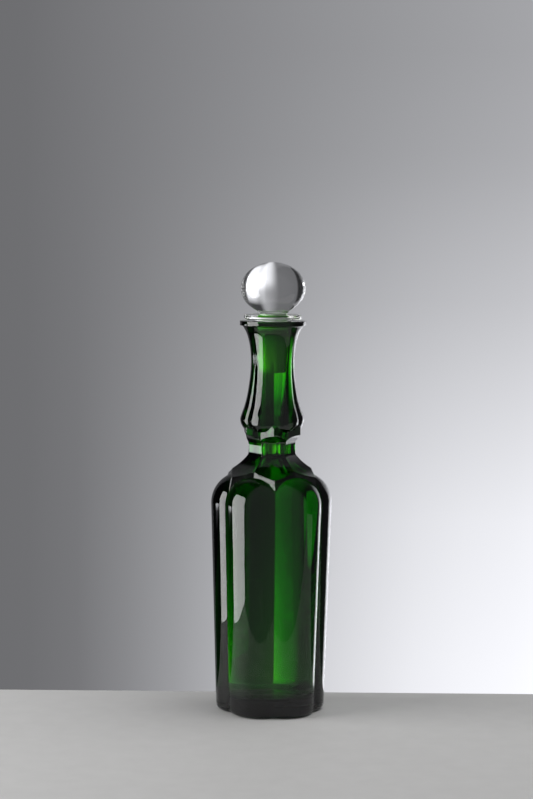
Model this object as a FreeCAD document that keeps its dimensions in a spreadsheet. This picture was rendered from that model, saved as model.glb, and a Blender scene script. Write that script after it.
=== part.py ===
"""A tall pressed-glass decanter with six lobes and a ball stopper, in millimetres.

The bottle stands on Z = 0 with its axis on +Z. Its six lobes are centred every
60 degrees from +X, and the creases between them lie halfway, one of them at -Y.
"""
import FreeCAD
import Part
import math
import os
import Sketcher
from FreeCAD import Placement, Rotation, Vector

SIZES = {
    # body: six upright lobes that widen a little and end in round domes
    "lobe_offset": 18.4,
    "lobe_foot_radius": 24.0,
    "lobe_shoulder_radius": 28.7,
    "lobe_shoulder_height": 163.0,
    "dome_bend": 24.0,
    "heel_bend": 5.0,
    # recess under the foot
    "recess_radius": 27.0,
    "recess_depth": 1.6,
    # collar: a six-sided frustum whose sides dip a little in the middle
    "collar_base_height": 166.0,
    "collar_base_corner": 41.8,
    "collar_base_middle": 35.2,
    "collar_tip_height": 207.0,
    "collar_tip_corner": 33.1,
    "collar_tip_middle": 27.7,
    # flutes: a six-sided waist that flares down over the collar and up under the ring
    "flute_base_height": 160.0,
    "flute_base_reach": 48.0,
    "flute_edge_height": 183.8,
    "flute_edge_reach": 42.0,
    "flute_bend": 39.3,
    "waist_foot_height": 200.0,
    "waist_foot_reach": 16.6,
    "waist_foot_bend": 4.4,
    "waist_low_height": 202.5,
    "waist_reach": 15.8,
    "waist_high_height": 208.5,
    "ring_under_bend": 8.6,
    "ring_under_height": 216.9,
    "ring_under_reach": 24.3,
    "flute_top_reach": 30.0,
    # ring above the waist
    "ring_base_height": 205.0,
    "ring_corner": 24.3,
    "ring_middle": 19.9,
    "ring_shoulder_height": 223.1,
    "ring_top_height": 226.0,
    "ring_top_reach": 21.4,
    # neck: six lobes swelling to a bulge over the ring and fading into a round mouth
    "bulge_height": 228.5,
    "bulge_offset": 9.7,
    "bulge_radius": 15.2,
    "bulge_under_bend": 11.0,
    "lip_radius": 25.6,
    "lip_under_height": 301.1,
    "lip_top_height": 304.7,
    # hollow: nearly straight inside, so the wall thickens upwards as the lobes widen
    "floor_height": 11.0,
    "floor_bend": 9.0,
    "cavity_foot_radius": 35.0,
    "cavity_shoulder_radius": 33.0,
    "cavity_shoulder_height": 162.0,
    "cavity_dome_bend": 25.0,
    "cavity_turn_radius": 20.5,
    "cavity_turn_height": 183.65,
    "cavity_neck_bend": 20.0,
    "cavity_neck_height": 200.97,
    "bore_radius": 10.5,
    "seat_low_height": 262.0,
    "mouth_radius": 12.6,
    # stopper
    "plug_end_height": 264.6,
    "plug_end_radius": 10.3,
    "plug_top_radius": 12.3,
    "step_radius": 15.0,
    "flange_under_height": 305.8,
    "flange_top_height": 309.6,
    "flange_rim_radius": 21.3,
    "flange_edge_bend": 2.3,
    "stem_radius": 10.8,
    "stem_bead_height": 311.0,
    "stem_bead_radius": 12.3,
    "ball_foot_height": 312.3,
    "ball_middle_height": 329.8,
    "ball_turn_reach": 18.66,
    "ball_turn_rise": 13.39,
    "ball_side_bend": 17.5,
    "ball_half_height": 20.2,
}

# The neck's section at each station: height, lobe offset and lobe radius.
NECK_STATIONS = (
    (228.5, 9.70, 15.20),
    (231.6, 9.25, 14.85),
    (234.6, 8.80, 14.25),
    (239.5, 8.15, 13.25),
    (245.0, 7.40, 12.60),
    (252.0, 6.45, 12.30),
    (262.0, 5.10, 12.30),
    (272.0, 3.75, 13.10),
    (281.0, 2.50, 14.75),
    (289.0, 1.50, 17.05),
    (296.0, 0.70, 20.10),
    (302.0, 0.25, 24.10),
)

LOBES = 6
HALF_LOBE = math.radians(180 / LOBES)


class Size:
    """A length together with the sheet expression that gives it."""

    def __init__(self, value, text):
        self.value = value
        self.text = text

    def __add__(self, other):
        return Size(self.value + other.value, f"({self.text} + {other.text})")

    def __sub__(self, other):
        return Size(self.value - other.value, f"({self.text} - {other.text})")

    def __neg__(self):
        return Size(-self.value, f"(-{self.text})")


def size(name):
    return Size(CELLS[name], f"Sizes.{name}")


ZERO = Size(0.0, "0")
AXIS_LENGTH = Size(100.0, "100")
CENTRED = "centred"


def station_name(kind, number):
    """The cell for one station of the neck, such as neck_radius_a."""
    return f"neck_{kind}_{'abcdefghijkl'[number]}"


def all_cells():
    cells = dict(SIZES)
    for number, station in enumerate(NECK_STATIONS):
        for kind, value in zip(("height", "offset", "radius"), station):
            cells[station_name(kind, number)] = value
    return cells


CELLS = all_cells()


def make_sheet(doc):
    sheet = doc.addObject("Spreadsheet::Sheet", "Sizes")
    for row, (name, value) in enumerate(CELLS.items(), start=1):
        sheet.set(f"A{row}", name)
        sheet.set(f"B{row}", str(value))
        sheet.setAlias(f"B{row}", name)
    doc.recompute()


def add_sketch(body, name, role="XZ_Plane"):
    plane = next(item for item in body.Origin.OriginFeatures if item.Role == role)
    sketch = body.newObject("Sketcher::SketchObject", name)
    sketch.AttachmentSupport = [(plane, "")]
    sketch.MapMode = "FlatFace"
    return sketch


def bind(sketch, length, kind, *places):
    """Adds one sized constraint and ties it to the sheet."""
    number = sketch.addConstraint(Sketcher.Constraint(kind, *places, length.value))
    sketch.setExpression(f"Constraints[{number}]", length.text)


def pin(sketch, edge, end, across, up):
    """Ties one end of an edge to its two distances from the sketch's origin."""
    for kind, length in (("DistanceX", across), ("DistanceY", up)):
        bind(sketch, length, kind, -1, 1, edge, end)


def short_arc(start, end, radius, side):
    """The arc from start to end, anticlockwise for side 1 and clockwise for side -1."""
    chord = end - start
    rise = math.sqrt(max(radius * radius - chord.Length ** 2 / 4, 0.0))
    towards_centre = Vector(-chord.y, chord.x, 0).normalize() * rise * side
    circle = Part.Circle((start + end) / 2 + towards_centre, Vector(0, 0, 1), radius)
    first, last = (start, end) if side > 0 else (end, start)
    return Part.ArcOfCircle(circle, circle.parameter(first), circle.parameter(last))


def centred_radius(start, end):
    """The radius of the arc through two points whose centre is on the upright axis."""
    height = (end.Length ** 2 - start.Length ** 2) / (2 * (end.y - start.y))
    return Size(math.hypot(start.x, start.y - height), "")


def draw_outline(sketch, corners):
    """Draws a closed outline. Each corner is (across, up), or (across, up, radius, side)
    where an arc leads on to the next corner, its centre on the upright axis if the
    radius is CENTRED."""
    points = [Vector(corner[0].value, corner[1].value, 0) for corner in corners]
    starts = []
    for number, corner in enumerate(corners):
        start = points[number]
        end = points[(number + 1) % len(corners)]
        if len(corner) == 2:
            sketch.addGeometry(Part.LineSegment(start, end), False)
            starts.append(1)
        else:
            radius, side = corner[2:]
            if radius is CENTRED:
                radius = centred_radius(start, end)
            sketch.addGeometry(short_arc(start, end, radius.value, side), False)
            starts.append(1 if side > 0 else 2)
    for number in range(len(corners)):
        following = (number + 1) % len(corners)
        sketch.addConstraint(Sketcher.Constraint(
            "Coincident", number, 3 - starts[number], following, starts[following]))
    for number, corner in enumerate(corners):
        pin(sketch, number, starts[number], *corner[:2])
        if len(corner) > 2 and corner[2] is CENTRED:
            sketch.addConstraint(Sketcher.Constraint("PointOnObject", number, 3, -2))
        elif len(corner) > 2:
            bind(sketch, corner[2], "Radius", number)


def spin(body, sketch, name, across=None):
    """Revolves an outline about the sketch's upright axis, or one moved across by a size."""
    feature = body.newObject("PartDesign::Revolution", name)
    feature.Profile = sketch
    if across is None:
        feature.ReferenceAxis = (sketch, ["V_Axis"])
    else:
        foot = Vector(across.value, 0, 0)
        axis = sketch.addGeometry(
            Part.LineSegment(foot, foot + Vector(0, AXIS_LENGTH.value, 0)), True)
        sketch.addConstraint(Sketcher.Constraint("Vertical", axis))
        pin(sketch, axis, 1, across, ZERO)
        bind(sketch, AXIS_LENGTH, "DistanceY", axis, 1, axis, 2)
        feature.ReferenceAxis = (sketch, ["Axis0"])
    feature.Angle = 360
    return feature


def repeat_round(body, features, name):
    """Repeats features once for each lobe about the upright axis."""
    z_axis = next(item for item in body.Origin.OriginFeatures if item.Role == "Z_Axis")
    pattern = body.newObject("PartDesign::PolarPattern", name)
    pattern.Originals = features
    pattern.Axis = (z_axis, [""])
    pattern.Angle = 360
    pattern.Occurrences = LOBES
    body.Tip = pattern
    return pattern


def make_body_lobes(doc):
    """The six lobes of the body, each turned about its own upright axis."""
    body = doc.addObject("PartDesign::Body", "BodyLobes")
    sketch = add_sketch(body, "LobeOutline")
    axis = size("lobe_offset")
    foot = axis + size("lobe_foot_radius")
    shoulder = axis + size("lobe_shoulder_radius")
    top = size("lobe_shoulder_height") + size("dome_bend")
    draw_outline(sketch, [
        (axis, ZERO),
        (foot - size("heel_bend"), ZERO, size("heel_bend"), 1),
        (foot, size("heel_bend")),
        (shoulder, size("lobe_shoulder_height"), size("dome_bend"), 1),
        (shoulder - size("dome_bend"), top),
        (axis, top),
    ])
    lobe = spin(body, sketch, "Lobe", axis)
    repeat_round(body, [lobe], "SixLobes")
    return body


def make_prism(doc, name, rings):
    """A ruled stack of twelve-cornered sections: corners on the creases, middles between."""
    sections = []
    for number, (height, middle, corner) in enumerate(rings):
        sketch = doc.addObject("Sketcher::SketchObject", f"{name}Section{number}")
        sketch.Placement = Placement(Vector(0, 0, height.value), Rotation())
        sketch.setExpression("Placement.Base.z", height.text)
        draw_star(sketch, (middle, corner))
        sections.append(sketch)
    prism = doc.addObject("Part::Loft", name)
    prism.Sections = sections
    prism.Solid = True
    prism.Ruled = True
    return prism


def draw_star(sketch, lengths):
    """Twelve sides whose corners lie on spokes from the origin, at two lengths in turn."""
    sides = 2 * LOBES
    for step in range(sides):
        start = spoke_point(step, lengths[step % 2].value)
        end = spoke_point(step + 1, lengths[(step + 1) % 2].value)
        sketch.addGeometry(Part.LineSegment(start, end), False)
    for step in range(sides):
        start = spoke_point(step, lengths[step % 2].value)
        spoke = sketch.addGeometry(Part.LineSegment(Vector(0, 0, 0), start), True)
        sketch.addConstraint(Sketcher.Constraint("Coincident", spoke, 1, -1, 1))
        sketch.addConstraint(Sketcher.Constraint("Coincident", spoke, 2, step, 1))
        sketch.addConstraint(
            Sketcher.Constraint("Coincident", step, 2, (step + 1) % sides, 1))
        if step > 0:
            sketch.addConstraint(
                Sketcher.Constraint("Angle", spoke - 1, 1, spoke, 1, HALF_LOBE))
        else:
            sketch.addConstraint(Sketcher.Constraint("Horizontal", spoke))
        bind(sketch, lengths[step % 2], "Distance", spoke)


def spoke_point(step, length):
    angle = step * HALF_LOBE
    return Vector(math.cos(angle), math.sin(angle), 0) * length


def make_flutes(doc):
    """The fluted waist: three crossed bars whose sides flare to the collar and the ring."""
    right = [
        (size("flute_base_reach"), size("flute_base_height")),
        (size("flute_edge_reach"), size("flute_edge_height"), size("flute_bend"), -1),
        (size("waist_foot_reach"), size("waist_foot_height"), size("waist_foot_bend"), -1),
        (size("waist_reach"), size("waist_low_height")),
        (size("waist_reach"), size("waist_high_height"), size("ring_under_bend"), -1),
        (size("ring_under_reach"), size("ring_under_height")),
        (size("flute_top_reach"), size("ring_under_height")),
        (size("flute_top_reach"), size("ring_top_height")),
    ]
    outline = right + mirrored(right)
    bars = []
    for number in range(LOBES // 2):
        sketch = doc.addObject("Sketcher::SketchObject", f"FluteOutline{number}")
        draw_outline(sketch, outline)
        turn = Rotation(Vector(0, 0, 1), math.degrees(HALF_LOBE) * (1 + 2 * number))
        sketch.Placement = Placement(Vector(), turn * Rotation(Vector(1, 0, 0), 90))
        bar = doc.addObject("Part::Extrusion", f"FluteBar{number}")
        bar.Base = sketch
        bar.DirMode = "Normal"
        bar.Symmetric = True
        bar.Solid = True
        bar.setExpression("LengthFwd", "4 * Sizes.flute_base_reach")
        bars.append(bar)
    return bars


def mirrored(right):
    """The same outline on the other side of the axis, walked back down."""
    left = []
    for number in range(len(right) - 1, -1, -1):
        across, up = right[number][:2]
        bend = right[number - 1][2:] if number > 0 else ()
        left.append((-across, up, *bend))
    return left


def make_waist(doc):
    """The collar, waist and ring: flutes cut through the collar's and ring's facets."""
    collar = make_prism(doc, "Collar", [
        (size("collar_base_height"), size("collar_base_middle"), size("collar_base_corner")),
        (size("collar_tip_height"), size("collar_tip_middle"), size("collar_tip_corner")),
    ])
    ring = make_prism(doc, "RingFacets", [
        (size("ring_base_height"), size("ring_middle"), size("ring_corner")),
        (size("ring_top_height"), size("ring_middle"), size("ring_corner")),
    ])
    facets = doc.addObject("Part::MultiFuse", "Facets")
    facets.Shapes = [collar, ring]
    waist = doc.addObject("Part::MultiCommon", "Waist")
    waist.Shapes = [facets, *make_flutes(doc), make_ring_shoulder(doc)]
    return waist


def make_ring_shoulder(doc):
    """A round limit that bevels the top of the ring's corners."""
    body = doc.addObject("PartDesign::Body", "RingShoulder")
    sketch = add_sketch(body, "ShoulderOutline")
    wide = size("flute_base_reach")
    draw_outline(sketch, [
        (ZERO, size("flute_base_height")),
        (wide, size("flute_base_height")),
        (wide, size("ring_base_height")),
        (size("ring_corner"), size("ring_shoulder_height")),
        (size("ring_top_reach"), size("ring_top_height")),
        (ZERO, size("ring_top_height")),
    ])
    body.Tip = spin(body, sketch, "Shoulder")
    return body


def make_neck(doc):
    """The six-lobed neck over its bulge, with the six small domes under the bulge."""
    body = doc.addObject("PartDesign::Body", "Neck")
    sections = [add_neck_section(body, number) for number in range(len(NECK_STATIONS))]
    loft = body.newObject("PartDesign::AdditiveLoft", "NeckLobe")
    loft.Profile = sections[0]
    loft.Sections = sections[1:]
    doc.recompute()
    repeat_round(body, [loft], "SixNeckLobes")
    return body


def add_neck_section(body, number):
    """One sixth of the neck's section: two sides on the creases and the lobe's arc."""
    height, offset, radius = (size(station_name(kind, number))
                              for kind in ("height", "offset", "radius"))
    sketch = add_sketch(body, f"NeckSection{number}", "XY_Plane")
    sketch.AttachmentOffset = Placement(Vector(0, 0, height.value), Rotation())
    sketch.setExpression("AttachmentOffset.Base.z", height.text)
    along = offset.value * math.cos(HALF_LOBE)
    reach = along + math.sqrt(along ** 2 - offset.value ** 2 + radius.value ** 2)
    right, left = spoke_point(-1, reach), spoke_point(1, reach)
    centre = Vector(offset.value, 0, 0)
    circle = Part.Circle(centre, Vector(0, 0, 1), radius.value)
    sketch.addGeometry(Part.LineSegment(Vector(), right), False)
    sketch.addGeometry(
        Part.ArcOfCircle(circle, circle.parameter(right), circle.parameter(left)), False)
    sketch.addGeometry(Part.LineSegment(Vector(), left), False)
    for places in ((0, 1, -1, 1), (0, 2, 1, 1), (1, 2, 2, 2), (2, 1, -1, 1)):
        sketch.addConstraint(Sketcher.Constraint("Coincident", *places))
    sketch.addConstraint(Sketcher.Constraint("PointOnObject", 1, 3, -1))
    sketch.addConstraint(Sketcher.Constraint("Angle", 0, -HALF_LOBE))
    sketch.addConstraint(Sketcher.Constraint("Angle", 2, HALF_LOBE))
    bind(sketch, offset, "DistanceX", -1, 1, 1, 3)
    bind(sketch, radius, "Radius", 1)
    return sketch


def make_bulge(doc):
    """The six small domes under the neck's bulge."""
    body = doc.addObject("PartDesign::Body", "Bulge")
    sketch = add_sketch(body, "BulgeOutline")
    axis = size("bulge_offset")
    under = size("bulge_height") - size("bulge_under_bend")
    draw_outline(sketch, [
        (axis, under),
        (axis + size("bulge_radius") - size("bulge_under_bend"), under,
         size("bulge_under_bend"), 1),
        (axis + size("bulge_radius"), size("bulge_height")),
        (axis, size("bulge_height")),
    ])
    dome = spin(body, sketch, "Dome", axis)
    repeat_round(body, [dome], "SixDomes")
    return body


def make_round_piece(doc, name, corners):
    """A solid turned about the bottle's axis."""
    body = doc.addObject("PartDesign::Body", name)
    sketch = add_sketch(body, f"{name}Outline")
    draw_outline(sketch, corners)
    body.Tip = spin(body, sketch, f"{name}Turned")
    return body


def make_lip(doc):
    """The flat sharp-edged disc round the mouth."""
    return make_round_piece(doc, "Lip", [
        (ZERO, size("lip_under_height")),
        (size("lip_radius"), size("lip_under_height")),
        (size("lip_radius"), size("lip_top_height")),
        (ZERO, size("lip_top_height")),
    ])


def make_hollow(doc):
    """Everything that is empty inside the bottle, up through the mouth."""
    floor = size("floor_height")
    bend = size("floor_bend")
    above = size("lip_top_height") + size("dome_bend")
    return make_round_piece(doc, "Hollow", [
        (ZERO, floor),
        (size("cavity_foot_radius") - bend, floor, bend, 1),
        (size("cavity_foot_radius"), floor + bend),
        (size("cavity_shoulder_radius"), size("cavity_shoulder_height"),
         size("cavity_dome_bend"), 1),
        (size("cavity_turn_radius"), size("cavity_turn_height"),
         size("cavity_neck_bend"), -1),
        (size("bore_radius"), size("cavity_neck_height")),
        (size("bore_radius"), size("seat_low_height")),
        (size("mouth_radius"), size("lip_top_height")),
        (size("mouth_radius"), above),
        (ZERO, above),
    ])


def make_recess(doc):
    """The shallow round recess under the foot."""
    below = ZERO - size("recess_depth")
    return make_round_piece(doc, "Recess", [
        (ZERO, below),
        (size("recess_radius"), below),
        (size("recess_radius"), ZERO),
        (size("recess_radius") - size("recess_depth"), size("recess_depth")),
        (ZERO, size("recess_depth")),
    ])


def make_bottle(doc):
    """The green bottle: lobed body, fluted waist, lobed neck and flat lip, hollow inside."""
    outside = doc.addObject("Part::MultiFuse", "Outside")
    outside.Shapes = [
        make_body_lobes(doc), make_waist(doc), make_bulge(doc), make_neck(doc), make_lip(doc)]
    inside = doc.addObject("Part::MultiFuse", "Inside")
    inside.Shapes = [make_hollow(doc), make_recess(doc)]
    bottle = doc.addObject("Part::Cut", "Bottle")
    bottle.Base = outside
    bottle.Tool = inside
    bottle.Label = "bottle"
    return bottle


def make_stopper(doc):
    """The clear stopper: flattened ball, short stem, thin flange and tapered plug."""
    rim = size("flange_rim_radius")
    middle = size("ball_middle_height")
    turn = size("ball_turn_reach")
    rise = size("ball_turn_rise")
    stopper = make_round_piece(doc, "Stopper", [
        (ZERO, size("plug_end_height")),
        (size("plug_end_radius"), size("plug_end_height")),
        (size("plug_top_radius"), size("lip_top_height")),
        (size("step_radius"), size("lip_top_height")),
        (size("step_radius"), size("flange_under_height")),
        (rim, size("flange_under_height"), size("flange_edge_bend"), 1),
        (rim, size("flange_top_height")),
        (size("stem_radius"), size("flange_top_height")),
        (size("stem_bead_radius"), size("stem_bead_height")),
        (size("stem_bead_radius"), size("ball_foot_height"), CENTRED, 1),
        (turn, middle - rise, size("ball_side_bend"), 1),
        (turn, middle + rise, CENTRED, 1),
        (ZERO, middle + size("ball_half_height")),
    ])
    stopper.Label = "stopper"
    return stopper


def check(doc, nodes):
    """Stops if any object failed or any node is not one sound solid."""
    failed = [item.Name for item in doc.Objects
              if "Invalid" in item.State or "Error" in item.State]
    if failed:
        raise RuntimeError(f"failed objects: {failed}")
    for node in nodes:
        shape = node.Shape
        if shape.isNull() or not shape.isValid() or len(shape.Solids) != 1:
            raise RuntimeError(f"{node.Label} is not one sound solid")


def main():
    doc = FreeCAD.newDocument("Decanter")
    make_sheet(doc)
    nodes = [make_bottle(doc), make_stopper(doc)]
    for node in nodes:
        node.Placement = Placement()
    doc.recompute()
    check(doc, nodes)
    os.makedirs("parts", exist_ok=True)
    for node in nodes:
        node.Shape.exportStep(f"parts/{node.Label}.step")
        print(node.Label, round(node.Shape.Volume), "mm3", node.Shape.BoundBox)


main()
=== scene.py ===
"""A green lobed glass decanter and its clear ball stopper on a pale table.

The bottle's outside is one rule: the farthest-out of a few simple shapes at each
azimuth and height. Its rows of vertices run along the edges where two shapes meet.
Lengths are worked out in millimetres and handed to Blender in metres.
"""
import bpy
import math
from mathutils import Euler, Matrix, Vector


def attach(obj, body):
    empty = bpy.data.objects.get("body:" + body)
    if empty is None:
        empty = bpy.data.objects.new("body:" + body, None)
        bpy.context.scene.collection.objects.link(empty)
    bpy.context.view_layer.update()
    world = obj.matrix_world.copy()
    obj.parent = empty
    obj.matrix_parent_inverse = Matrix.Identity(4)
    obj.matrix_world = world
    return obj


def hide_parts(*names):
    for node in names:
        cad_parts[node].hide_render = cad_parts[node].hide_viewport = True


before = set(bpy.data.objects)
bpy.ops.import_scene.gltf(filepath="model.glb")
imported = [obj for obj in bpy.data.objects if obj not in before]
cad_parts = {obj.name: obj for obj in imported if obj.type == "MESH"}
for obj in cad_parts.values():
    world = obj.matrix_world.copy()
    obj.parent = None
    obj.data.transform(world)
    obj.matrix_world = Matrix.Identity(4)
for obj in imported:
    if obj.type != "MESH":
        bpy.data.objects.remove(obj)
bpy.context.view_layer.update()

MM = 0.001
LOBES = 6
HALF = math.radians(180 / LOBES)

# Body lobes: each a round column whose top is a dome.
LOBE_OFFSET = 18.4
LOBE_FOOT = 24.0
LOBE_SHOULDER = 28.7
SHOULDER = 163.0
DOME_BEND = 24.0
HEEL_BEND = 5.0

# Collar facets: corner and middle radius at two heights.
COLLAR_LOW = (166.0, 41.8, 35.2)
COLLAR_HIGH = (207.0, 33.1, 27.7)

# Flutes: straight runs and arcs, (height, reach) where they join.
FLUTE_EDGE = (183.8, 42.0)
FLUTE_BEND = 39.3
WAIST_FOOT = (200.0, 16.6)
WAIST_FOOT_BEND = 4.4
WAIST_LOW = 202.5
WAIST_HIGH = 208.5
WAIST_REACH = 15.8
RING_UNDER = (216.9, 24.3)
RING_UNDER_BEND = 8.6

# Ring above the waist.
RING_CORNER = 24.3
RING_MIDDLE = 19.9
RING_SHOULDER = (223.1, 24.3)
RING_SHOULDER_END = (226.0, 21.4)

# Neck: height, lobe offset and lobe radius at its stations.
BULGE = 228.5
BULGE_UNDER_BEND = 11.0
NECK_STATIONS = (
    (228.5, 9.70, 15.20),
    (231.6, 9.25, 14.85),
    (234.6, 8.80, 14.25),
    (239.5, 8.15, 13.25),
    (245.0, 7.40, 12.60),
    (252.0, 6.45, 12.30),
    (262.0, 5.10, 12.30),
    (272.0, 3.75, 13.10),
    (281.0, 2.50, 14.75),
    (289.0, 1.50, 17.05),
    (296.0, 0.70, 20.10),
    (302.0, 0.25, 24.10),
)
LIP_UNDER = 301.1
LIP_TOP = 304.7
LIP_RADIUS = 25.6

# Hollow: round all the way, from the foot's floor to the tapered mouth.
FLOOR = 11.0
FLOOR_BEND = 9.0
CAVITY_FOOT = 35.0
CAVITY_TOP = 33.0
CAVITY_SHOULDER = 162.0
CAVITY_DOME = 25.0
CAVITY_TURN = 60.0  # degrees that both bends under the neck turn through
NECK_BEND = 20.0
BORE_END = 200.97
BORE = 10.5
SEAT_LOW = 262.0
MOUTH = 12.6
RECESS_RADIUS = 27.0
RECESS_DEPTH = 1.6

# Stopper: (radius, height) pairs and radii.
PLUG_END = (10.3, 264.6)
PLUG_TOP = 12.3
STEP = 15.0
FLANGE_UNDER = 305.8
FLANGE_TOP = 309.6
FLANGE_RIM = 21.3
FLANGE_BEND = 2.3
STEM = 10.8
BEAD = (12.3, 311.0)
BALL = 329.8
BALL_HALF = 20.2
BALL_TURN = 18.66
BALL_RISE = 13.39
BALL_SIDE_BEND = 17.5

EDGE = 0.3  # half the width over which a pressed edge turns, in mm
TINY = 0.02
NO_LIMIT = 99.0  # a reach that is wider than the bottle anywhere
ARCH_SPAN = (167.0, 187.0)  # heights between which the arch over a lobe lies
RIDGE_TOP = 196.0
CREASE_STEP = 0.8  # degrees between a crease and the columns beside it
COLUMN_STEPS = 11
BEND_STEPS = 16
FLOOR_STEPS = 10
HEEL_STEPS = 6
STOPPER_SIDES = 160

# Glass: its tint and density give the colour of a depth of glass.
GLASS_IOR = 1.52
GREEN_TINT = (0.62, 0.855, 0.0)
GREEN_DENSITY = 900.0
GREEN_RIPPLE = 0.008
CLEAR_TINT = (0.93, 0.96, 0.93)
CLEAR_DENSITY = 2.0
CLEAR_RIPPLE = 0.0
RIPPLE_SCALE = 35.0
RIPPLE_DEPTH = 0.001

# Table, in metres.
TABLE_LEFT = -0.33
TABLE_RIGHT = 0.90
TABLE_FRONT = -0.262
TABLE_BACK = 0.053
TABLE_THICKNESS = 0.03
TABLE_DARK = (0.62, 0.615, 0.605, 1)
TABLE_LIGHT = (0.68, 0.675, 0.665, 1)
TABLE_ROUGHNESS = 0.6
TABLE_GRAIN = 60.0

# Camera: metres from the axis and above the table, and degrees down, aside and rolled.
CAMERA_TURN = math.radians(4.2)
CAMERA_DISTANCE = 1.540
CAMERA_HEIGHT = 0.379
CAMERA_LENS = 89.7
CAMERA_DOWN = 5.03
CAMERA_ASIDE = 0.17
CAMERA_ROLL = 0.45

# Studio: (degrees, level) stops, with azimuth 0 straight behind the bottle, + to the right.
BACKDROP_BASE = (
    (-180, 0.25), (-140, 0.25), (-122, 0.01), (-41, 0.01), (-36, 0.145), (-7.4, 0.155),
    (7.4, 0.38), (12, 0.38), (20, 0.05), (100, 0.05), (122, 0.25), (180, 0.25),
)
# Each glow: its level across the azimuths, up the elevations, and at its brightest.
NEAR_GLOW = (
    ((-180, 0.0), (-5.7, 0.0), (-3.5, 0.11), (-1.0, 0.34), (2.1, 0.69), (4.7, 0.92),
     (7.4, 1.0), (14, 1.0), (24, 0.3), (40, 0.0), (180, 0.0)),
    ((-90, 1.0), (-13, 1.0), (-8.5, 0.82), (-6.2, 0.63), (-2.2, 0.30), (1.8, 0.07),
     (5.0, 0.0), (90, 0.0)),
    0.62,
)
RIGHT_GLOW = (
    ((-180, 0.0), (8, 0.0), (18, 0.4), (28, 1.0), (42, 1.0), (49, 0.0), (180, 0.0)),
    ((-90, 0.0), (-52, 0.0), (-38, 0.36), (-25, 0.4), (-17, 1.0), (-6, 1.0), (3, 0.5),
     (14, 0.27), (26, 0.0), (90, 0.0)),
    3.0,
)
LEFT_GLOW = (
    ((-180, 0.0), (-77, 0.0), (-72, 1.0), (-64, 1.0), (-58, 0.0), (180, 0.0)),
    ((-90, 0.0), (-10, 0.0), (-8.5, 1.0), (-5.5, 1.0), (-4, 0.0), (90, 0.0)),
    4.4,
)
SEEN_LEAST = 0.14  # the least level where the camera sees the backdrop directly
STUDIO_TINT = (0.98, 0.987, 1.035)

# Softbox, a metre away: degrees round from the camera, metres wide, low and high.
SOFTBOX_AZIMUTH = -76
SOFTBOX_WIDTH = 0.85
SOFTBOX_LOW = -0.45
SOFTBOX_HIGH = 0.75
SOFTBOX_LEVEL = 6.0
TOP_LIGHT_PLACE = (0.6, -0.1, 1.1)
TOP_LIGHT_SIZE = 1.0
TOP_LIGHT_POWER = 7.0


def polar_circle(offset, radius, angle):
    """Distance from the axis to a circle set off along azimuth 0, or 0 where it misses."""
    across = offset * math.sin(angle)
    if radius <= abs(across):
        return 0.0
    return offset * math.cos(angle) + math.sqrt(radius * radius - across * across)


def polar_facet(middle, corner, angle):
    """Distance to the flat facet from a middle at azimuth 0 to a corner half a lobe on."""
    angle = abs(angle)
    spread = middle * math.sin(angle) + corner * math.sin(HALF - angle)
    return middle * corner * math.sin(HALF) / spread


def along(low, high, place):
    """Straight-line blend of two tuples whose first item is the place."""
    share = (place - low[0]) / (high[0] - low[0])
    return [a + (b - a) * share for a, b in zip(low[1:], high[1:])]


def dome_drop(bend, rise):
    """How far a quarter-round has come in at a rise above where it starts."""
    if rise <= 0:
        return 0.0
    if rise >= bend:
        return bend
    return bend - math.sqrt(bend * bend - rise * rise)


def hollow_arc(low, high, bend, z):
    """Reach at a height on the hollow arc between two (height, reach) points."""
    (z0, r0), (z1, r1) = low, high
    length = math.hypot(z1 - z0, r1 - r0)
    lift = math.sqrt(max(bend * bend - length * length / 4, 0.0))
    centre_z = (z0 + z1) / 2 - lift * (r1 - r0) / length
    centre_r = (r0 + r1) / 2 + lift * (z1 - z0) / length
    return centre_r - math.sqrt(max(bend * bend - (z - centre_z) ** 2, 0.0))


def body_lobe(angle, z):
    """Reach of the body's lobe, with its rounded heel and its dome."""
    radius = LOBE_FOOT + (LOBE_SHOULDER - LOBE_FOOT) * (z - HEEL_BEND) / (SHOULDER - HEEL_BEND)
    if z < HEEL_BEND:
        radius = LOBE_FOOT - dome_drop(HEEL_BEND, HEEL_BEND - z)
    if z > SHOULDER:
        radius = LOBE_SHOULDER - dome_drop(DOME_BEND, z - SHOULDER)
    if z > SHOULDER + DOME_BEND:
        return 0.0
    return polar_circle(LOBE_OFFSET, radius, angle)


def collar(angle, z):
    """Reach of the flat facets above the domes."""
    corner, middle = along(COLLAR_LOW, COLLAR_HIGH, z)
    return polar_facet(middle, corner, angle)


def flute_reach(z):
    """Half the width of the fluted waist, across its flats."""
    if z < WAIST_FOOT[0]:
        return hollow_arc(FLUTE_EDGE, WAIST_FOOT, FLUTE_BEND, z)
    if z < WAIST_LOW:
        return hollow_arc(WAIST_FOOT, (WAIST_LOW, WAIST_REACH), WAIST_FOOT_BEND, z)
    if z < WAIST_HIGH:
        return WAIST_REACH
    return hollow_arc((WAIST_HIGH, WAIST_REACH), RING_UNDER, RING_UNDER_BEND, z)


def flute(angle, z):
    """Reach left by the flutes, which cut nothing above or below themselves."""
    if z > RING_UNDER[0] or z < FLUTE_EDGE[0]:
        return NO_LIMIT
    return flute_reach(z) / math.cos(HALF - abs(angle))


def ring(angle, z):
    """Reach of the ring's facets, with the bevel along its top."""
    limit = NO_LIMIT
    if z > RING_SHOULDER[0]:
        limit = along(RING_SHOULDER, RING_SHOULDER_END, z)[0]
    return min(polar_facet(RING_MIDDLE, RING_CORNER, angle), limit)


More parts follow.
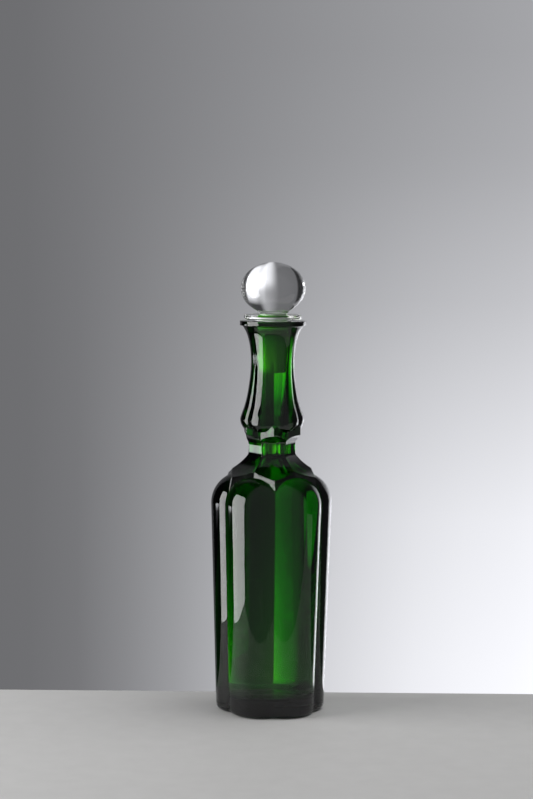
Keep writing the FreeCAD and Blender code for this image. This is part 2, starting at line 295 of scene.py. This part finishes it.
def under_bulge(angle, z):
    """Reach of the small domes under the bulge at the foot of the neck."""
    if z < BULGE - BULGE_UNDER_BEND:
        return 0.0
    _, offset, radius = NECK_STATIONS[0]
    return polar_circle(offset, radius - dome_drop(BULGE_UNDER_BEND, BULGE - z), angle)


def neck(angle, z):
    """Reach of the neck's lobes."""
    offset, radius = neck_at(z)
    return polar_circle(offset, radius, angle)


def neck_at(z):
    """Lobe offset and radius on the smooth curve through the neck's stations."""
    last = len(NECK_STATIONS) - 2
    index = max(i for i in range(last + 1) if NECK_STATIONS[i][0] <= z or i == 0)
    low, high = NECK_STATIONS[index], NECK_STATIONS[index + 1]
    span = high[0] - low[0]
    t = (z - low[0]) / span
    result = []
    for item in (1, 2):
        slope_low = station_slope(index, item) * span
        slope_high = station_slope(index + 1, item) * span
        result.append(
            (2 * t ** 3 - 3 * t ** 2 + 1) * low[item] + (t ** 3 - 2 * t ** 2 + t) * slope_low
            + (3 * t ** 2 - 2 * t ** 3) * high[item] + (t ** 3 - t ** 2) * slope_high)
    return result


def station_slope(index, item):
    """Slope of the neck's curve at one station, level at the lowest."""
    if index == 0:
        return 0.0
    before = NECK_STATIONS[index - 1]
    after = NECK_STATIONS[min(index + 1, len(NECK_STATIONS) - 1)]
    return (after[item] - before[item]) / (after[0] - before[0])


def solve(difference, low, high):
    """The height between two others at which a rising difference passes zero."""
    if difference(low) >= 0:
        return low
    for _ in range(50):
        middle = (low + high) / 2
        if difference(middle) < 0:
            low = middle
        else:
            high = middle
    return high


def outside(angle, z):
    """The bottle's outer radius at an azimuth within one lobe and a height."""
    if z < COLLAR_LOW[0]:
        return body_lobe(angle, z)
    if z < WAIST_FOOT[0]:
        return max(body_lobe(angle, z), min(collar(angle, z), flute(angle, z)))
    if z < BULGE:
        return max(under_bulge(angle, z), min(ring(angle, z), flute(angle, z)))
    return neck(angle, z)


def edge_heights(angle):
    """Heights of the edges at one azimuth: arch, ridge, ring's foot, shoulder and top."""
    arch = solve(lambda z: collar(angle, z) - body_lobe(angle, z), *ARCH_SPAN)
    ridge = solve(lambda z: collar(angle, z) - flute(angle, z), FLUTE_EDGE[0], RIDGE_TOP)
    foot = solve(lambda z: flute(angle, z) - ring(angle, z), WAIST_HIGH, RING_UNDER[0])
    top = solve(lambda z: under_bulge(angle, z) - ring(angle, z),
                BULGE - BULGE_UNDER_BEND + 0.1, RING_SHOULDER_END[0])
    facet = polar_facet(RING_MIDDLE, RING_CORNER, angle)
    fall = (RING_SHOULDER[1] - RING_SHOULDER_END[1]) / (RING_SHOULDER_END[0] - RING_SHOULDER[0])
    shoulder = min(RING_SHOULDER[0] + (RING_CORNER - facet) / fall, top - 4 * TINY)
    return arch, ridge, foot, shoulder, top


def span_heights(low, high, steps, soft_low, soft_high):
    """Heights after low up to high; a soft end has one more row close beside it."""
    near = min(EDGE, (high - low) / 4)
    first = low + near if soft_low else low
    last = high - near if soft_high else high
    heights = [first] if soft_low else []
    heights += [first + (last - first) * step / steps for step in range(1, steps + 1)]
    if soft_high:
        heights.append(high)
    return heights


def outer_column(angle):
    """(radius, height) down one azimuth of the bottle's outside, from the foot to the lip."""
    arch, ridge, foot, shoulder, top = edge_heights(angle)
    rows = [(RECESS_RADIUS + share * (heel_start(angle) - RECESS_RADIUS), 0.0)
            for share in (0.02, 0.3, 0.6, 0.9)]
    for step in range(HEEL_STEPS + 1):
        turn = math.radians(90) * step / HEEL_STEPS
        radius = LOBE_FOOT - HEEL_BEND + HEEL_BEND * math.sin(turn)
        rows.append((polar_circle(LOBE_OFFSET, radius, angle), HEEL_BEND * (1 - math.cos(turn))))
    # Each span: its ends, its steps, and whether each end is a pressed edge.
    spans = (
        (HEEL_BEND, SHOULDER, 30, False, False),
        (SHOULDER, arch, 24, False, True),
        (arch, ridge, 6, True, True),
        (ridge, WAIST_FOOT[0], 18, True, False),
        (WAIST_FOOT[0], WAIST_HIGH, 12, False, False),
        (WAIST_HIGH, foot, 14, False, True),
        (foot, shoulder, 5, True, True),
        (shoulder, top, 2, True, True),
        (top, BULGE, 14, True, False),
        (BULGE, LIP_UNDER, 72, False, False),
    )
    edges = (arch, ridge, foot, shoulder, top)
    for span in spans:
        for z in span_heights(*span):
            rows.append((rounded_radius(angle, z, edges), z))
    neck_top = rows[-1][0]
    rows += [
        (neck_top + EDGE, LIP_UNDER),
        ((neck_top + LIP_RADIUS) / 2, LIP_UNDER),
        (LIP_RADIUS - EDGE, LIP_UNDER),
        (LIP_RADIUS - 0.1 * EDGE, LIP_UNDER + 0.3 * EDGE),
        (LIP_RADIUS, LIP_UNDER + EDGE),
        (LIP_RADIUS, LIP_TOP - EDGE),
        (LIP_RADIUS - 0.1 * EDGE, LIP_TOP - 0.3 * EDGE),
        (LIP_RADIUS - EDGE, LIP_TOP),
    ]
    return rows


def heel_start(angle):
    """Radius at which the flat foot turns up into the heel."""
    return polar_circle(LOBE_OFFSET, LOBE_FOOT - HEEL_BEND, angle)


def rounded_radius(angle, z, edges):
    """The outer radius, eased where the row lies on a pressed edge."""
    exact = outside(angle, z)
    if z not in edges:
        return exact
    beside = (outside(angle, z - EDGE / 2) + outside(angle, z + EDGE / 2)) / 2
    return (exact + beside) / 2


def inner_profile():
    """(radius, height) down the round hollow, from the mouth to the floor's edge."""
    rows = [(share * MOUTH + (1 - share) * LIP_RADIUS, LIP_TOP) for share in (0.3, 0.6, 0.85)]
    rows += [(MOUTH + 0.5, LIP_TOP), (MOUTH + 0.15, LIP_TOP - 0.1), (MOUTH, LIP_TOP - 0.4)]
    rows += line_rows((MOUTH, LIP_TOP - 0.4), (BORE, SEAT_LOW), steps=22)
    rows += line_rows((BORE, SEAT_LOW), (BORE, BORE_END), steps=30)
    turn = math.radians(CAVITY_TURN)
    for step in range(1, BEND_STEPS + 1):
        bend = turn * step / BEND_STEPS
        rows.append((BORE + NECK_BEND * (1 - math.cos(bend)),
                     BORE_END - NECK_BEND * math.sin(bend)))
    for step in range(1, BEND_STEPS + 1):
        bend = turn * (1 - step / BEND_STEPS)
        rows.append((CAVITY_TOP - CAVITY_DOME * (1 - math.cos(bend)),
                     CAVITY_SHOULDER + CAVITY_DOME * math.sin(bend)))
    rows += line_rows((CAVITY_TOP, CAVITY_SHOULDER), (CAVITY_FOOT, FLOOR + FLOOR_BEND),
                      steps=30)
    for step in range(1, FLOOR_STEPS + 1):
        bend = math.radians(90) * step / FLOOR_STEPS
        rows.append((CAVITY_FOOT - FLOOR_BEND * (1 - math.cos(bend)),
                     FLOOR + FLOOR_BEND * (1 - math.sin(bend))))
    rows += line_rows((CAVITY_FOOT - FLOOR_BEND, FLOOR), (2.0, FLOOR), steps=8)
    return rows


def line_rows(first, last, steps):
    """Points after first up to last on a straight line."""
    return [tuple(a + (b - a) * step / steps for a, b in zip(first, last))
            for step in range(1, steps + 1)]


def lobe_angles():
    """Azimuths of one lobe's columns in radians, closer beside its middle and its crease."""
    edge = 180 / LOBES
    span = edge - 2 * CREASE_STEP
    half = [CREASE_STEP + span * step / COLUMN_STEPS for step in range(COLUMN_STEPS + 1)]
    degrees = [-edge] + [-value for value in reversed(half)] + [0] + half
    return [math.radians(value) for value in degrees]


def closed_mesh(name, columns, foot_centre, top_centre):
    """A closed skin from columns of (azimuth, [(radius, height), ...]) and two end points."""
    verts = []
    for azimuth, rows in columns:
        side = (math.cos(azimuth), math.sin(azimuth))
        verts += [(r * side[0] * MM, r * side[1] * MM, z * MM) for r, z in rows]
    count = len(columns[0][1])
    first_centre = len(verts)
    verts += [(0, 0, foot_centre * MM), (0, 0, top_centre * MM)]
    faces = []
    for number in range(len(columns)):
        here = number * count
        there = (number + 1) % len(columns) * count
        faces.append((first_centre, there, here))
        for row in range(count - 1):
            faces.append((here + row, there + row, there + row + 1, here + row + 1))
        faces.append((first_centre + 1, here + count - 1, there + count - 1))
    mesh = bpy.data.meshes.new(name)
    mesh.from_pydata(verts, [], faces)
    mesh.polygons.foreach_set("use_smooth", [True] * len(mesh.polygons))
    mesh.update()
    return mesh


def make_bottle():
    """The bottle's whole glass in one closed skin: recess, outside, lip and hollow."""
    recess = [(2.0, RECESS_DEPTH), (14.0, RECESS_DEPTH), (RECESS_RADIUS - 2.2, RECESS_DEPTH),
              (RECESS_RADIUS - 1.7, RECESS_DEPTH - 0.1), (RECESS_RADIUS - 0.3, 0.25)]
    inside = inner_profile()
    by_angle = {angle: outer_column(angle) for angle in lobe_angles()}
    columns = []
    for lobe in range(LOBES):
        for angle, outer in by_angle.items():
            columns.append((lobe * 2 * HALF + angle, recess + outer + inside))
    mesh = closed_mesh("bottle_glass", columns, RECESS_DEPTH, FLOOR)
    return bpy.data.objects.new("bottle_glass", mesh)


def stopper_profile():
    """(radius, height) up the stopper, from the plug's end to the top of the ball."""
    rows = [(PLUG_END[0] - 0.8, PLUG_END[1]), (PLUG_END[0] - 0.2, PLUG_END[1] + 0.1),
            (PLUG_END[0], PLUG_END[1] + 0.5)]
    rows += line_rows(rows[-1], (PLUG_TOP, LIP_TOP - 0.3), steps=16)
    rows += [(PLUG_TOP, LIP_TOP), (PLUG_TOP + 0.3, LIP_TOP), (STEP - 0.3, LIP_TOP),
             (STEP, LIP_TOP + 0.3), (STEP, FLANGE_UNDER), (STEP + 0.5, FLANGE_UNDER)]
    rows += line_rows((STEP + 0.5, FLANGE_UNDER), (FLANGE_RIM, FLANGE_UNDER), steps=5)
    middle = (FLANGE_UNDER + FLANGE_TOP) / 2
    half = (FLANGE_TOP - FLANGE_UNDER) / 2
    centre = FLANGE_RIM - math.sqrt(FLANGE_BEND ** 2 - half ** 2)
    spread = math.asin(half / FLANGE_BEND)
    for step in range(1, 13):
        turn = spread * (step / 6 - 1)
        rows.append((centre + FLANGE_BEND * math.cos(turn), middle + FLANGE_BEND * math.sin(turn)))
    rows += line_rows(rows[-1], (STEM + 0.8, FLANGE_TOP), steps=8)
    rows += [(STEM + 0.2, FLANGE_TOP + 0.1), (STEM, FLANGE_TOP + 0.4),
             (STEM + 0.3, BEAD[1] - 0.5), (BEAD[0] - 0.2, BEAD[1]), (BEAD[0], BEAD[1] + 0.3)]
    rows += ball_rows()
    return rows


def ball_rows():
    """The flattened ball: a broad cap below, a tighter side and a broad cap above."""
    cap_drop = (BALL_HALF ** 2 - BALL_TURN ** 2 - BALL_RISE ** 2) / (2 * (BALL_HALF - BALL_RISE))
    cap_bend = BALL_HALF - cap_drop
    lowest = math.asin(BEAD[0] / cap_bend)
    join = math.asin(BALL_TURN / cap_bend)
    side_centre = BALL_TURN - math.sqrt(BALL_SIDE_BEND ** 2 - BALL_RISE ** 2)
    side = math.asin(BALL_RISE / BALL_SIDE_BEND)
    rows = []
    for step in range(11):
        turn = lowest + (join - lowest) * step / 10
        rows.append((cap_bend * math.sin(turn), BALL - cap_drop - cap_bend * math.cos(turn)))
    for step in range(1, 33):
        turn = side * (step / 16 - 1)
        rows.append((side_centre + BALL_SIDE_BEND * math.cos(turn),
                     BALL + BALL_SIDE_BEND * math.sin(turn)))
    for step in range(1, 20):
        turn = join * (1 - step / 20)
        rows.append((cap_bend * math.sin(turn), BALL + cap_drop + cap_bend * math.cos(turn)))
    return rows


def make_stopper():
    """The stopper's solid glass, turned about the bottle's axis."""
    rows = stopper_profile()
    columns = [(2 * math.pi * number / STOPPER_SIDES, rows) for number in range(STOPPER_SIDES)]
    mesh = closed_mesh("stopper_glass", columns, PLUG_END[1], BALL + BALL_HALF)
    return bpy.data.objects.new("stopper_glass", mesh)


def add_piece(piece, body, material):
    """Put a piece in the scene in place of the CAD node that it rides on."""
    bpy.context.scene.collection.objects.link(piece)
    piece.data.materials.append(material)
    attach(piece, body)
    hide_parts(body)


def glass(name, tint, density, ripple):
    """Clear glass that takes its colour from its depth, with a faint pressed ripple."""
    material = bpy.data.materials.new(name)
    material.use_nodes = True
    nodes = material.node_tree.nodes
    links = material.node_tree.links
    shader = nodes["Principled BSDF"]
    shader.inputs["Base Color"].default_value = (1, 1, 1, 1)
    shader.inputs["Roughness"].default_value = 0.0
    shader.inputs["IOR"].default_value = GLASS_IOR
    shader.inputs["Transmission Weight"].default_value = 1.0
    depth = nodes.new("ShaderNodeVolumeAbsorption")
    depth.inputs["Color"].default_value = (*tint, 1)
    depth.inputs["Density"].default_value = density
    links.new(depth.outputs[0], nodes["Material Output"].inputs["Volume"])
    place = nodes.new("ShaderNodeTexCoord")
    wave = nodes.new("ShaderNodeTexNoise")
    wave.inputs["Scale"].default_value = RIPPLE_SCALE
    wave.inputs["Detail"].default_value = 1.0
    bump = nodes.new("ShaderNodeBump")
    bump.inputs["Strength"].default_value = ripple
    bump.inputs["Distance"].default_value = RIPPLE_DEPTH
    links.new(place.outputs["Object"], wave.inputs["Vector"])
    links.new(wave.outputs["Fac"], bump.inputs["Height"])
    links.new(bump.outputs["Normal"], shader.inputs["Normal"])
    return material


def table_material():
    """A matte off-white with a fine, faint mottle."""
    material = bpy.data.materials.new("table_matte")
    material.use_nodes = True
    nodes = material.node_tree.nodes
    links = material.node_tree.links
    shader = nodes["Principled BSDF"]
    shader.inputs["Roughness"].default_value = TABLE_ROUGHNESS
    grain = nodes.new("ShaderNodeTexNoise")
    grain.inputs["Scale"].default_value = TABLE_GRAIN
    ramp = nodes.new("ShaderNodeValToRGB")
    ramp.color_ramp.elements[0].color = TABLE_DARK
    ramp.color_ramp.elements[1].color = TABLE_LIGHT
    place = nodes.new("ShaderNodeTexCoord")
    links.new(place.outputs["Object"], grain.inputs["Vector"])
    links.new(grain.outputs["Fac"], ramp.inputs["Fac"])
    links.new(ramp.outputs["Color"], shader.inputs["Base Color"])
    return material


def make_table():
    """A pale table top whose back edge runs close behind the bottle."""
    corners = ((TABLE_LEFT, TABLE_FRONT), (TABLE_RIGHT, TABLE_FRONT),
               (TABLE_RIGHT, TABLE_BACK), (TABLE_LEFT, TABLE_BACK))
    verts = [(x, y, z) for z in (-TABLE_THICKNESS, 0.0) for x, y in corners]
    faces = [(0, 3, 2, 1), (4, 5, 6, 7), (0, 1, 5, 4), (1, 2, 6, 5), (2, 3, 7, 6), (3, 0, 4, 7)]
    mesh = bpy.data.meshes.new("table_top")
    mesh.from_pydata(verts, [], faces)
    table = bpy.data.objects.new("table_top", mesh)
    table.rotation_euler = (0, 0, -CAMERA_TURN)
    bpy.context.scene.collection.objects.link(table)
    table.data.materials.append(table_material())


def world_ramp(tree, angle, stops, half_range):
    """A grey level that follows an angle in radians through (degrees, level) stops."""
    scale = tree.nodes.new("ShaderNodeMapRange")
    scale.inputs["From Min"].default_value = -math.radians(half_range)
    scale.inputs["From Max"].default_value = math.radians(half_range)
    ramp = tree.nodes.new("ShaderNodeValToRGB")
    elements = ramp.color_ramp.elements
    while len(elements) < len(stops):
        elements.new(0.5)
    for element, (degrees, level) in zip(elements, stops):
        element.position = 0.5 + degrees / (2 * half_range)
        element.color = (level, level, level, 1)
    tree.links.new(angle, scale.inputs["Value"])
    tree.links.new(scale.outputs["Result"], ramp.inputs["Fac"])
    return ramp.outputs["Color"]


def world_math(tree, operation, first, second=None):
    """The output of a maths node whose inputs are numbers or other outputs."""
    node = tree.nodes.new("ShaderNodeMath")
    node.operation = operation
    for socket, value in zip(node.inputs, (first, second)):
        if isinstance(value, (int, float)):
            socket.default_value = value
        elif value is not None:
            tree.links.new(value, socket)
    return node.outputs[0]


def make_studio():
    """A far backdrop: a base level all round, three glows, and a least level where seen."""
    world = bpy.data.worlds.new("studio")
    bpy.context.scene.world = world
    world.use_nodes = True
    tree = world.node_tree
    place = tree.nodes.new("ShaderNodeTexCoord")
    turned = tree.nodes.new("ShaderNodeVectorRotate")
    turned.rotation_type = "Z_AXIS"
    turned.inputs["Angle"].default_value = CAMERA_TURN
    split = tree.nodes.new("ShaderNodeSeparateXYZ")
    tree.links.new(place.outputs["Generated"], turned.inputs["Vector"])
    tree.links.new(turned.outputs["Vector"], split.inputs["Vector"])
    azimuth = world_math(tree, "ARCTAN2", split.outputs["X"], split.outputs["Y"])
    elevation = world_math(tree, "ARCSINE", split.outputs["Z"])
    lit = world_ramp(tree, azimuth, BACKDROP_BASE, 180)
    for across, up, brightest in (NEAR_GLOW, RIGHT_GLOW, LEFT_GLOW):
        share = world_math(tree, "MULTIPLY", world_ramp(tree, azimuth, across, 180),
                           world_ramp(tree, elevation, up, 90))
        lit = world_math(tree, "ADD", lit, world_math(tree, "MULTIPLY", share, brightest))
    path = tree.nodes.new("ShaderNodeLightPath")
    seen = world_math(tree, "MULTIPLY", path.outputs["Is Camera Ray"], SEEN_LEAST)
    level = world_math(tree, "MAXIMUM", lit, seen)
    tint = tree.nodes.new("ShaderNodeVectorMath")
    tint.operation = "SCALE"
    tint.inputs[0].default_value = STUDIO_TINT
    tree.links.new(level, tint.inputs["Scale"])
    tree.links.new(tint.outputs[0], tree.nodes["Background"].inputs["Color"])


def make_softbox():
    """A soft upright panel at the camera's left, hidden from the camera itself."""
    light = bpy.data.lights.new("softbox", "AREA")
    light.shape = "RECTANGLE"
    light.size = SOFTBOX_WIDTH
    light.size_y = SOFTBOX_HIGH - SOFTBOX_LOW
    light.energy = SOFTBOX_LEVEL * math.pi * light.size * light.size_y
    lamp = bpy.data.objects.new("softbox", light)
    turn = math.radians(SOFTBOX_AZIMUTH) - CAMERA_TURN
    towards = Vector((math.sin(turn), -math.cos(turn), 0))
    lamp.location = towards + Vector((0, 0, (SOFTBOX_LOW + SOFTBOX_HIGH) / 2))
    lamp.rotation_euler = (-towards).to_track_quat("-Z", "Y").to_euler()
    lamp.visible_camera = False
    bpy.context.scene.collection.objects.link(lamp)


def make_top_light():
    """Soft light from above for the table, which the glass neither mirrors nor passes on."""
    light = bpy.data.lights.new("top_light", "AREA")
    light.size = TOP_LIGHT_SIZE
    light.energy = TOP_LIGHT_POWER
    lamp = bpy.data.objects.new("top_light", light)
    lamp.location = TOP_LIGHT_PLACE
    lamp.visible_camera = False
    lamp.visible_glossy = False
    lamp.visible_transmission = False
    bpy.context.scene.collection.objects.link(lamp)


def make_camera():
    """A short telephoto view from a little above, a few degrees round to the left."""
    data = bpy.data.cameras.new("camera")
    data.sensor_width = 36.0
    data.lens = CAMERA_LENS
    camera = bpy.data.objects.new("camera", data)
    side = Vector((-math.sin(CAMERA_TURN), -math.cos(CAMERA_TURN), 0))
    camera.location = side * CAMERA_DISTANCE + Vector((0, 0, CAMERA_HEIGHT))
    tilt = math.radians(90 - CAMERA_DOWN)
    look = Euler((tilt, 0, -CAMERA_TURN + math.radians(CAMERA_ASIDE))).to_matrix()
    roll = Matrix.Rotation(math.radians(CAMERA_ROLL), 3, "Z")
    camera.rotation_euler = (look @ roll).to_euler()
    bpy.context.scene.collection.objects.link(camera)
    bpy.context.scene.camera = camera


def set_light_paths():
    """Enough bounces for light to cross both glasses, shown in the plain Standard view."""
    cycles = bpy.context.scene.cycles
    cycles.max_bounces = 32
    cycles.transmission_bounces = 32
    cycles.glossy_bounces = 16
    cycles.diffuse_bounces = 4
    bpy.context.scene.view_settings.view_transform = "Standard"


make_camera()
make_table()
make_studio()
make_softbox()
make_top_light()
set_light_paths()
green = glass("green_glass", GREEN_TINT, GREEN_DENSITY, GREEN_RIPPLE)
clear = glass("clear_glass", CLEAR_TINT, CLEAR_DENSITY, CLEAR_RIPPLE)
add_piece(make_bottle(), "bottle", green)
add_piece(make_stopper(), "stopper", clear)
